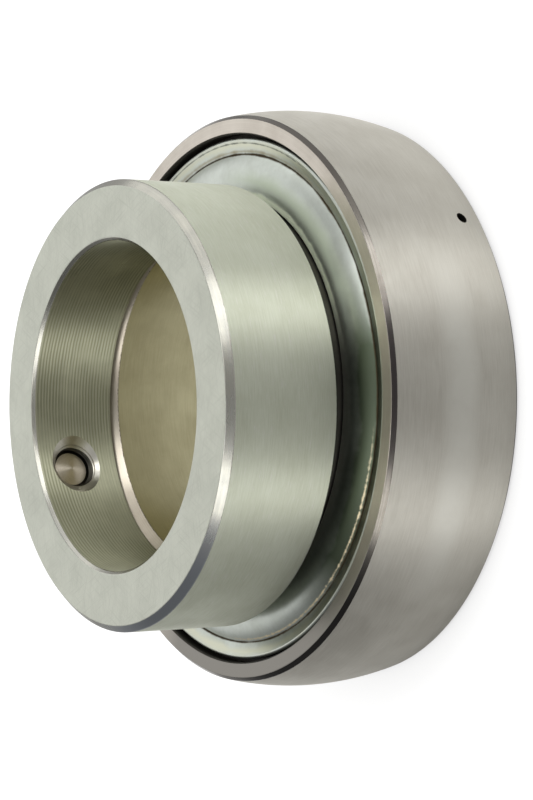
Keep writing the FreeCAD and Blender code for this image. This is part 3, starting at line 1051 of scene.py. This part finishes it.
@dataclass(frozen=True)
class Thread:
    """Thread of the set screw and of its hole: both follow one helix, so that they fit.

    steepness and crest shape the flanks, and wall_error is how far a point of a wall may lie from it.
    """

    radius: float = 4.0
    depth: float = 0.52
    pitch: float = 0.75
    rows: int = 8
    clearance: float = 0.05
    steepness: float = 1.5
    crest: float = 0.25
    wall_error: float = 1e-4

    def groove(self, mesh: Mesh, major: float, start: float, end: float) -> None:
        """Move the points of a round wall in to the thread's flanks.

        Args:
            mesh: The mesh, turned about Z.
            major: Radius of the wall.
            start: Height at which the thread begins.
            end: Height at which it ends.
        """
        for corner in mesh.verts:
            away = corner.co.to_2d().length
            if abs(away - major) > self.wall_error or not start <= corner.co.z <= end:
                continue
            turn = math.atan2(corner.co.y, corner.co.x) / FULL_TURN
            phase = (corner.co.z / self.pitch - turn) % 1.0
            flank = 1 - abs(2 * phase - 1)
            share = min(1.0, max(0.0, flank * self.steepness - self.crest))
            fade = min(1.0, (corner.co.z - start) / self.pitch, (end - corner.co.z) / self.pitch)
            inwards = (major - self.depth * share * fade) / away
            corner.co.x *= inwards
            corner.co.y *= inwards

    def wall(self, line: Outline, radius: float, start: float, end: float) -> None:
        """Draw a straight wall with enough points for the thread.

        Args:
            line: The outline.
            radius: Radius of the wall.
            start: Height at which it begins.
            end: Height at which it ends.
        """
        count = round((end - start) / self.pitch * self.rows)
        for number in range(count + 1):
            line.to(radius, start + (end - start) * number / count)


THREAD = Thread()


class CollarZone(IntEnum):
    """Parts of the collar, in the order of its finishes."""

    OUTSIDE = 0
    FACE = 1
    BORE = 2
    HOLES = 3
    RECESS = 4
    CHAMFER = 5
    DEEP_SHADE = 6


@dataclass
class LockingCollar:
    """Locking collar: turned and plated, with an eccentric recess, a threaded hole and a drift hole."""

    shift: float = -1.225
    recess_shift: float = -0.6125
    wall: float = 10.2
    recess: float = 33.1
    recess_depth: float = 4.55
    chamfer: float = 1.15
    back_chamfer: float = 0.15
    bore_chamfer: float = 0.55
    recess_chamfer: float = 0.5
    break_edge: float = 0.14
    back_edge: float = 0.08
    chamfer_slope: float = 0.2
    bore_depth: float = 3.0
    screw_depth: float = 7.65
    screw_angle: float = 202.4
    countersink: float = 0.65
    sink_depth: float = 0.5
    # How far from the mouths the threaded hole keeps its bright finish; deeper, a dark finish paints the
    # shade.
    bright_inner: float = 1.05
    bright_outer: float = 1.5
    drift_radius: float = 3.25
    drift_depth: float = 4.5
    drift_point: float = 1.9
    drift_sink: float = 0.25
    drift_bright: float = 0.5
    back: float = field(init=False)
    front: float = field(init=False)
    radius: float = field(init=False)
    bore: float = field(init=False)
    screw_height: float = field(init=False)

    def __post_init__(self) -> None:
        """Read the radii and the heights."""
        top = spot("locking_collar")
        self.back = spot("locking_collar", high=False).z
        self.front = top.z
        self.radius = top.y - self.shift
        self.bore = self.radius - self.wall
        self.screw_height = self.front - self.screw_depth

    def outline(self) -> Outline:
        """Draw the collar's section, before its recess and holes.

        Returns:
            The section.
        """
        line = Outline()
        line.to(self.bore, self.back)
        line.to(self.radius - self.back_chamfer, self.back, self.back_edge)
        line.to(self.radius, self.back + self.back_chamfer, self.back_edge)
        line.to(self.radius, self.front - self.chamfer, self.break_edge)
        line.to(self.radius - self.chamfer, self.front, self.break_edge)
        line.to(self.bore + self.bore_chamfer, self.front, self.break_edge)
        line.to(self.bore, self.front - self.bore_chamfer, self.break_edge)
        return line

    def zone(self, middle: Vector, normal: Vector) -> int:
        """Return which part of the collar a face belongs to.

        Args:
            middle: Middle of the face.
            normal: Its normal.

        Returns:
            The number of the part.
        """
        if abs(normal.z) > FLAT:
            return CollarZone.FACE
        if abs(normal.z) > self.chamfer_slope:
            return CollarZone.CHAMFER
        away = (middle - Vector((0, self.shift, 0))).to_2d().length
        return CollarZone.OUTSIDE if away > self.bore + self.bore_depth else CollarZone.BORE

    def recess_cutter(self) -> Piece:
        """Make the cutter of the eccentric recess.

        Returns:
            The cutter.
        """
        line = Outline()
        line.to(0, self.back - SPARE)
        line.to(self.recess + self.recess_chamfer, self.back - SPARE)
        line.to(self.recess + self.recess_chamfer, self.back)
        line.to(self.recess, self.back + self.recess_chamfer)
        line.to(self.recess, self.back + self.recess_depth)
        line.to(0, self.back + self.recess_depth)
        mesh = moved(line.turn(), Matrix.Translation((0, self.recess_shift, 0)))
        return to_object("recess", paint(mesh, lambda middle, normal: CollarZone.RECESS))

    def screw_cutter(self) -> Piece:
        """Make the cutter of the threaded hole, countersunk at both ends.

        Returns:
            The cutter.
        """
        inner = self.bore + self.sink_depth
        outer = self.radius - self.sink_depth
        sink = THREAD.radius + self.countersink * (1 + SPARE / self.sink_depth)
        line = Outline()
        line.to(0, self.bore - SPARE)
        line.to(sink, self.bore - SPARE)
        THREAD.wall(line, THREAD.radius, inner, outer)
        line.to(sink, self.radius + SPARE)
        line.to(0, self.radius + SPARE)
        mesh = line.turn(HOLE_AROUND)
        THREAD.groove(mesh, THREAD.radius, inner, outer)

        def zone(middle: Vector, normal: Vector) -> int:
            """Return the bright finish near both mouths and, between them, a dark finish that is painted
            shade.
            """
            inside = self.bore + self.bright_inner < middle.z < self.radius - self.bright_outer
            return CollarZone.DEEP_SHADE if inside else CollarZone.HOLES

        place = across_axis(self.shift, self.screw_height, self.screw_angle)
        return to_object("screw_hole", moved(paint(mesh, zone), place))

    def drift_cutter(self) -> Piece:
        """Make the cutter of the blind hole, a quarter turn from the screw.

        Returns:
            The cutter.
        """
        line = blind_hole(
            self.drift_radius, self.radius - self.drift_depth, self.radius, self.drift_sink, self.drift_point
        )

        def zone(middle: Vector, normal: Vector) -> int:
            """Return the bright finish near the mouth and, below it, the recess's darker finish as painted
            shade.
            """
            return CollarZone.HOLES if middle.z > self.radius - self.drift_bright else CollarZone.RECESS

        place = across_axis(self.shift, self.screw_height, self.screw_angle - 90)
        return to_object("drift_hole", moved(paint(line.turn(HOLE_AROUND), zone), place))

    def finishes(self) -> tuple[Steel, ...]:
        """Choose the finishes of the collar's parts.

        Returns:
            The finishes, in the order of the parts' numbers.
        """
        centre = (0.0, self.shift, 0.0)
        # A bluish painted reflection over one arc of the chamfer.
        painted_sky_reflection = Band((0.46, 0.49, 0.53), self.radius, reach=9.0, grain=1.5, cover=1.35, dull=0.3, soft=0.3,
                   angle=-62, arc=54)
        dirt = Band((0.30, 0.29, 0.26), self.radius, reach=0.35, grain=0.5, cover=0.3, dull=0.5)
        return (
            Steel("collar_outside", PLATE, PLATE_SHADE, roughness=0.50, anisotropic=0.95, spacing=0.18,
                  stretch=4, depth=0.005, marks=0.55, clouds=0.35, scratches=0.5, centre=centre),
            Steel("collar_face", (0.62, 0.635, 0.555), (0.50, 0.515, 0.45), roughness=0.44, lay=Lay.CROSSED,
                  spacing=0.16, stretch=7, depth=0.004, marks=0.38, clouds=0.3, centre=centre),
            Steel("collar_bore", (0.64, 0.645, 0.485), (0.42, 0.42, 0.295), roughness=0.50, anisotropic=0.95,
                  spacing=0.16, depth=0.004, marks=0.4, clouds=0.3, ridges=0.6, ridge_depth=0.008,
                  centre=centre),
            Steel("collar_holes", (0.74, 0.72, 0.64), (0.50, 0.48, 0.42), roughness=0.26, centre=centre),
            # A mid grey that paints shade in the recess and deep in the drift hole.
            Steel("collar_recess_painted_shade", (0.34, 0.34, 0.30), (0.2, 0.2, 0.17), roughness=0.45, centre=centre),
            Steel("collar_chamfer", (0.58, 0.565, 0.49), (0.40, 0.40, 0.37), roughness=0.21, marks=0.35,
                  spacing=0.25, depth=0.006, centre=centre, bands=(painted_sky_reflection, dirt)),
            # Near black deep in the threaded hole: painted shade.
            Steel("hole_depth", (0.10, 0.095, 0.08), (0.05, 0.048, 0.04), roughness=0.4),
        )

    def build(self) -> None:
        """Make and dress the collar."""
        mesh = moved(self.outline().turn(), Matrix.Translation((0, self.shift, 0)))
        materials = tuple(finish.build() for finish in self.finishes())
        piece = to_object("turned_collar", paint(mesh, self.zone), materials)
        combine(piece, Work.CUT, self.recess_cutter(), self.screw_cutter(), self.drift_cutter())
        place_piece(piece, "collar", "locking_collar")


class ScrewZone(IntEnum):
    """Parts of the set screw, in the order of its finishes."""

    POINT = 0
    BODY = 1


@dataclass
class SetScrew:
    """Set screw: blunt cone point, thread, and a hexagon socket at the outer end."""

    collar: LockingCollar
    length: float = 8.0
    point_radius: float = 3.05
    point_height: float = 0.5
    point_edge: float = 0.12
    root_start: float = 0.1
    thread_start: float = 0.3
    end_chamfer: float = 0.5
    socket: float = 4.0
    socket_depth: float = 4.0
    start: float = 29.35

    def body(self) -> Mesh:
        """Turn the screw along its own axis and cut its thread.

        Returns:
            The screw, without its socket.
        """
        radius = THREAD.radius - THREAD.clearance
        shoulder = self.start + self.point_height
        end = self.start + self.length
        first = shoulder + self.thread_start
        last = end - self.end_chamfer
        line = Outline()
        line.to(0, self.start)
        line.to(self.point_radius, shoulder, self.point_edge)
        line.to(radius - THREAD.depth, shoulder + self.root_start)
        THREAD.wall(line, radius, first, last)
        line.to(radius - self.end_chamfer, end)
        line.to(0, end)
        mesh = line.turn(HOLE_AROUND)
        THREAD.groove(mesh, radius, first, last)
        return paint(mesh, lambda middle, normal: ScrewZone.POINT if middle.z < shoulder else ScrewZone.BODY)

    def socket_cutter(self, place: Matrix) -> Piece:
        """Return the cutter of the hexagon socket.

        Args:
            place: Where the screw lies.

        Returns:
            The cutter.
        """
        hexagon = bmesh.new()
        corner = self.socket / math.sqrt(3)
        bmesh.ops.create_cone(
            hexagon, cap_ends=True, segments=6, radius1=corner, radius2=corner, depth=2 * self.socket_depth
        )
        paint(hexagon, lambda middle, normal: ScrewZone.BODY)
        end = Matrix.Translation((0, 0, self.start + self.length))
        return to_object("socket", moved(hexagon, place, end, Matrix.Rotation(math.radians(30), 4, "Z")))

    def build(self) -> None:
        """Make and dress the screw."""
        place = across_axis(self.collar.shift, self.collar.screw_height, self.collar.screw_angle)
        aim = place.to_3x3() @ Vector((0, 0, 1))
        point = Steel("screw_point", (0.90, 0.83, 0.72), (0.62, 0.55, 0.45), roughness=0.36, anisotropic=0.8,
                      spacing=0.4, stretch=8, depth=0.006, marks=0.35, centre=tuple(place.translation),
                      axis=tuple(aim))
        # The thread and socket are near black: painted shade in the gap round the point.
        body = Steel("screw_body_painted_shade", (0.10, 0.09, 0.075), (0.05, 0.045, 0.04), roughness=0.4, lay=Lay.NONE,
                     spacing=0.5, depth=0.006)
        piece = to_object("threaded_set_screw", moved(self.body(), place), (point.build(), body.build()))
        combine(piece, Work.CUT, self.socket_cutter(place))
        place_piece(piece, "screw", "set_screw")


class Side(Enum):
    """Which face of the bearing a seal is at."""

    FRONT = "front"
    REAR = "rear"


class SealZone(IntEnum):
    """Parts of the outer washer, in the order of its finishes."""

    PLATE = 0
    PAINTED_SHADOW = 1


@dataclass
class Seal:
    """One seal: its outer washer drawn from sheet, with a raised rim, a crease and a dish."""

    side: Side
    seat_depth: float = 3.6
    sheet: float = 0.6
    mouth_gap: float = 1.2
    rim_recess: float = 0.85
    rim_width: float = 2.85
    crease_recess: float = 1.7
    crease_edge: float = 0.12
    dish_flat: float = 1.6
    dish_recess: float = 0.15
    dish_radius: float = 11.0
    dish_edge: float = 0.35
    ring_gap: float = 0.25
    lip_recess: float = 0.02
    lip_edge: float = 0.08
    painted_shadow_depth: float = 1.9
    painted_shadow_reach: float = 0.1
    held: float = field(init=False)
    face: float = field(init=False)
    land: float = field(init=False)
    rim: float = field(init=False)
    crease: float = field(init=False)
    edge: float = field(init=False)

    def __post_init__(self) -> None:
        """Read the height and the radii, which are the same at both faces."""
        top = spot("front_outer_washer")
        self.held = top.y
        self.face = top.z
        self.land = spot("inner_ring").y
        self.rim = self.held - self.mouth_gap
        self.crease = self.rim - self.rim_width
        self.edge = self.land + self.ring_gap

    def outline(self) -> Outline:
        """Draw the outer washer's section, at the front.

        Returns:
            The section.
        """
        sheet = self.sheet
        rim_top = self.face - self.rim_recess
        crease_top = self.face - self.crease_recess
        shoulder = self.land + self.dish_flat
        shoulder_top = self.face - self.dish_recess
        flange = self.face - self.seat_depth + sheet
        line = Outline()
        line.to(self.held, flange)
        line.to(self.held, flange + sheet)
        line.to(self.rim, flange + sheet)
        line.to(self.rim, rim_top - sheet)
        line.arc(self.rim - sheet, rim_top, sheet, left=True, steps=8)
        line.to(self.crease, crease_top, self.crease_edge)
        line.arc(shoulder, shoulder_top, self.dish_radius, left=True, steps=14, edge=self.dish_edge)
        line.to(self.edge, self.face - self.lip_recess, self.lip_edge)
        line.to(self.edge, self.face - sheet)
        line.to(shoulder, shoulder_top - sheet)
        line.arc(self.crease, crease_top - sheet, self.dish_radius, left=False, steps=14)
        line.to(self.rim - sheet, rim_top - sheet)
        line.to(self.rim - sheet, flange)
        return line

    def zone(self, middle: Vector, normal: Vector) -> int:
        """Return which part of the washer a face belongs to.

        Args:
            middle: Middle of the face.
            normal: Its normal, which doesn't matter here.

        Returns:
            The number of the part.
        """
        # The flange deep in the ring's seat gets the painted shadow.
        deep = abs(middle.z) < self.face - self.painted_shadow_depth
        outer = middle.xy.length > self.rim - self.painted_shadow_reach
        return SealZone.PAINTED_SHADOW if deep and outer else SealZone.PLATE

    def bands(self) -> tuple[Band, ...]:
        """Choose the tones of the plate.

        Returns:
            The tones: broad ones first, among them painted shade and painted light over arcs of the dish, then
                lines and specks.
        """
        return (
            Band((0.68, 0.69, 0.56), self.crease + 1.6, reach=1.5, grain=5.0, cover=1.1, dull=0.34, soft=0.6),
            # Painted shade over one arc of the dish.
            Band((0.10, 0.122, 0.085), 40.4, reach=4.4, grain=9.0, cover=1.6, dull=0.36, soft=0.7,
                 angle=-14, arc=70),
            # Painted light over an arc of the dish and over an arc of its flat inner zone.
            Band((0.66, 0.72, 0.60), 37.6, reach=2.6, grain=7.0, cover=1.3, dull=0.62, soft=0.8,
                 angle=52, arc=64),
            Band((0.90, 0.95, 0.78), self.edge + 0.55, reach=0.9, grain=2.0, cover=1.5, dull=0.7, soft=0.5,
                 angle=72, arc=104),
            Band((0.50, 0.46, 0.35), self.crease + 0.5, reach=0.75, grain=2.0, cover=0.65, dull=0.6, soft=0.6,
                 angle=95, arc=100),
            Band((0.92, 0.80, 0.56), self.crease - 0.5, reach=0.75, grain=0.8, cover=0.62, dull=0.5,
                 soft=0.25, angle=-50, arc=70),
            Band(CREASE_BROWN, self.crease, reach=0.42, grain=4.0, cover=1.2, dull=0.7, soft=0.5),
            Band((0.30, 0.31, 0.27), self.rim - 0.95, reach=0.42, grain=1.5, cover=0.72, dull=0.6, soft=0.4,
                 angle=95, arc=80),
            Band((0.22, 0.22, 0.18), self.edge, reach=0.3, grain=0.5, cover=0.4, dull=0.6),
        )

    def build(self) -> None:
        """Make and dress the outer washer, and give the pieces under it their finishes."""
        side = self.side.value
        mesh = self.outline().turn()
        if self.side is Side.REAR:
            moved(mesh, Matrix.Rotation(math.pi, 4, "X"))
        plate = Steel(f"{side}_seal_zinc", (0.64, 0.68, 0.63), (0.49, 0.52, 0.46), roughness=0.31,
                      lay=Lay.NONE, spacing=0.9, depth=0.004, marks=0.25, clouds=0.4, blotch=5,
                      bands=self.bands())
        # Near black painted shadow on the flange that sits in the ring's seat.
        groove = Steel(f"{side}_seal_painted_shadow", (0.045, 0.04, 0.035), (0.02, 0.018, 0.016), roughness=0.5)
        piece = to_object(f"{side}_seal_plate", paint(mesh, self.zone), (plate.build(), groove.build()))
        place_piece(piece, "outer", f"{side}_outer_washer")
        zinc = Steel(f"{side}_inner_zinc", (0.5, 0.53, 0.5), (0.36, 0.4, 0.37), lay=Lay.NONE)
        rubber = Moulded(f"{side}_rubber", (0.016, 0.015, 0.014), (0.028, 0.026, 0.023))
        dress(f"{side}_inner_washer", zinc.build())
        dress(f"{side}_seal_lip", rubber.build())


@dataclass
class RollingSet:
    """Balls and cage, which lie between the rings behind the seals."""

    polish: float = 0.06

    def build(self) -> None:
        """Dress the balls and the cage."""
        chrome = Steel("ball_polish", (0.78, 0.78, 0.77), (0.7, 0.7, 0.69), roughness=self.polish,
                       spread=0.04, lay=Lay.NONE, spacing=0.4, depth=0.0005, marks=0.2).build()
        nylon = Moulded("cage_nylon", (0.72, 0.66, 0.5), (0.62, 0.56, 0.41), roughness=0.5).build()
        for node in sorted(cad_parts):
            if node.startswith("ball_"):
                dress(node, chrome)
        dress("cage", nylon)


@dataclass(frozen=True)
class Softbox:
    """One soft lamp: the direction it stands in, the way its long side points, its size and its brightness.

    Its width, length and distance are metres.
    """

    name: str
    direction: Place
    along: Place
    width: float
    length: float
    brightness: float
    distance: float = 1.2

    def build(self) -> None:
        """Make the lamp, which shines on the bearing."""
        data = bpy.data.lights.new(self.name, "AREA")
        data.shape = "RECTANGLE"
        data.size = self.width
        data.size_y = self.length
        data.energy = self.brightness * math.pi * self.width * self.length
        lamp = bpy.data.objects.new(self.name, data)
        bpy.context.scene.collection.objects.link(lamp)
        out = Vector(self.direction).normalized()
        side = Vector(self.along).cross(out).normalized()
        turn = Matrix((side, out.cross(side), out)).transposed().to_4x4()
        lamp.matrix_world = Matrix.Translation(out * self.distance) @ turn


@dataclass(frozen=True)
class Ramp:
    """One part of the floor's glow in reflections: it grows along an axis, from start to end."""

    axis: str
    start: float
    end: float
    glow: float


@dataclass(frozen=True)
class Studio:
    """Floor, world, soft lamps and the camera that looks as the photograph does.

    The floor's colour is for light, its glow for the camera, and near_glow and ramps are for reflections near
    the bearing, which fade to far_glow. The world's spans are of its height, and dark_span says how far a
    place faces the dark side.
    """

    floor_half: float = 3000.0
    floor_drop: float = 0.02
    floor_colour: float = 0.3
    floor_roughness: float = 0.9
    floor_gloss: float = 0.1
    floor_glow: float = 0.95
    shadow: float = 0.6
    shadow_reach: float = 20.0
    far_glow: float = 0.15
    near_glow: float = 0.40
    near_span: Range = (70.0, 180.0)
    ramps: tuple[Ramp, ...] = (
        Ramp("Y", -10.0, 60.0, 0.24), Ramp("Y", -50.0, -95.0, 0.40), Ramp("X", 10.0, -40.0, 0.45)
    )
    world_grey: float = 0.50
    zenith_grey: float = 0.26
    zenith_span: Range = (0.3, 0.9)
    horizon: float = 0.7
    horizon_span: Range = (0.0, 0.35)
    dark_grey: float = 0.36
    dark_side: Place = (-0.30, -0.84, 0.45)
    dark_span: Range = (0.65, 0.9)
    seen_world: Colour = (0.8, 0.8, 0.8)
    lens: float = 107.0
    clip_start: float = 0.01
    camera_place: Place = (347.073, 0.102, 229.999)
    forward: Place = (-0.838582, -0.001023, -0.544774)
    up: Place = (0.0, 0.999998, -0.001878)

    def build(self) -> None:
        """Make the floor, light and camera."""
        self.floor()
        self.world()
        for lamp in self.lamps():
            lamp.build()
        self.camera()

    def lamps(self) -> tuple[Softbox, ...]:
        """Choose the lamps.

        Returns:
            Two tall strips beside the camera, a wide lamp above and one for the flat faces.
        """
        return (
            Softbox("upper_strip", (0.42, 0.60, 0.68), (-0.45, -0.10, 0.89), width=0.50, length=2.0,
                    brightness=2.15),
            Softbox("lower_strip", (0.40, -0.48, 0.78), (-0.47, 0.19, 0.86), width=0.44, length=1.9,
                    brightness=2.12),
            Softbox("upper_wall", (-0.30, 0.88, 0.37), (1.0, 0.0, 0.0), width=1.0, length=1.6,
                    brightness=0.72),
            Softbox("face_box", (-0.84, 0.0, 0.54), (0.0, 1.0, 0.0), width=1.0, length=1.3, brightness=0.64),
        )

    def floor_light(self, shader: Shader) -> Socket:
        """Return how strongly the floor glows: for the camera, and for what mirrors it. Near the bearing,
        ambient occlusion darkens both glows as a painted shadow.

        Args:
            shader: The floor's nodes.

        Returns:
            The output.
        """
        path = shader.add("ShaderNodeLightPath")
        mirrored = shader.math("MAXIMUM", path.outputs["Is Glossy Ray"], path.outputs["Is Transmission Ray"])
        here = shader.coordinates()
        place = shader.add("ShaderNodeSeparateXYZ", {0: here})
        extra: Value = self.near_glow
        for ramp in self.ramps:
            part = shader.between(place.outputs[ramp.axis], ramp.start * MM, ramp.end * MM, 0.0, ramp.glow)
            extra = shader.math("ADD", extra, part)
        close, far = self.near_span
        near = shader.between(shader.vector("LENGTH", here), close * MM, far * MM, 1.0, 0.0)
        lit = shader.math("MULTIPLY_ADD", extra, near, self.far_glow)
        reach = self.shadow_reach * MM
        open_sky = shader.add("ShaderNodeAmbientOcclusion", {"Distance": reach}).outputs["AO"]
        seen = shader.between(open_sky, 0.0, 1.0, self.floor_glow * self.shadow, self.floor_glow)
        return shader.math(
            "ADD", shader.math("MULTIPLY", mirrored, shader.math("MULTIPLY", open_sky, lit)),
            shader.math("MULTIPLY", path.outputs["Is Camera Ray"], seen),
        )

    def floor(self) -> None:
        """Make the pale floor under the bearing, which shows white and keeps the bearing's shadow."""
        shader = Shader("pale_floor")
        shader.feed(shader.surface, "Base Color", (self.floor_colour,) * 3 + (1.0,))
        shader.feed(shader.surface, "Roughness", self.floor_roughness)
        shader.feed(shader.surface, "Specular IOR Level", self.floor_gloss)
        shader.feed(shader.surface, "Emission Color", (1.0,) * 4)
        shader.feed(shader.surface, "Emission Strength", self.floor_light(shader))
        mesh = bmesh.new()
        bmesh.ops.create_grid(mesh, x_segments=1, y_segments=1, size=self.floor_half)
        bottom = spot("outer_ring", high=False).z
        moved(mesh, Matrix.Translation((0, 0, bottom - self.floor_drop)))
        plane = to_object("floor", mesh, (shader.material,))
        finish_mesh(plane)

    def world(self) -> None:
        """Light everything evenly and softly, with one dark side."""
        world = bpy.data.worlds.new("studio")
        bpy.context.scene.world = world
        world.use_nodes = True
        nodes = Nodes(world.node_tree)
        toward = nodes.add("ShaderNodeTexCoord").outputs["Generated"]
        facing = nodes.vector("DOT_PRODUCT", toward, Vector(self.dark_side).normalized())
        height = nodes.add("ShaderNodeSeparateXYZ", {0: toward}).outputs["Z"]
        low = nodes.between(height, *self.horizon_span, self.horizon, 1.0)
        grey = nodes.between(height, *self.zenith_span, self.world_grey, self.zenith_grey)
        grey = nodes.math("MULTIPLY", grey, low)
        grey = nodes.math("MULTIPLY", grey, nodes.between(facing, *self.dark_span, 1.0, self.dark_grey))
        light = nodes.add("ShaderNodeCombineColor", {0: grey, 1: grey, 2: grey}).outputs[0]
        camera = nodes.add("ShaderNodeLightPath").outputs["Is Camera Ray"]
        nodes.feed(world.node_tree.nodes["Background"], "Color", nodes.mix(camera, light, self.seen_world))

    def camera(self) -> None:
        """Make the camera."""
        data = bpy.data.cameras.new("camera")
        data.lens = self.lens
        data.clip_start = self.clip_start
        camera = bpy.data.objects.new("camera", data)
        bpy.context.scene.collection.objects.link(camera)
        forward = Vector(self.forward).normalized()
        right = forward.cross(Vector(self.up)).normalized()
        up = right.cross(forward)
        turn = Matrix((right, up, -forward)).transposed().to_4x4()
        camera.matrix_world = Matrix.Translation(Vector(self.camera_place) * MM) @ turn
        bpy.context.scene.camera = camera


def main() -> None:
    """Build the bearing's looks and its studio, in order."""
    logging.basicConfig(level=logging.INFO)
    OuterRing().build()
    InnerRing().build()
    collar = LockingCollar()
    collar.build()
    SetScrew(collar).build()
    for side in Side:
        Seal(side).build()
    RollingSet().build()
    Studio().build()
    bpy.context.scene.view_settings.view_transform = "Standard"


if __name__ == "__main__":
    main()
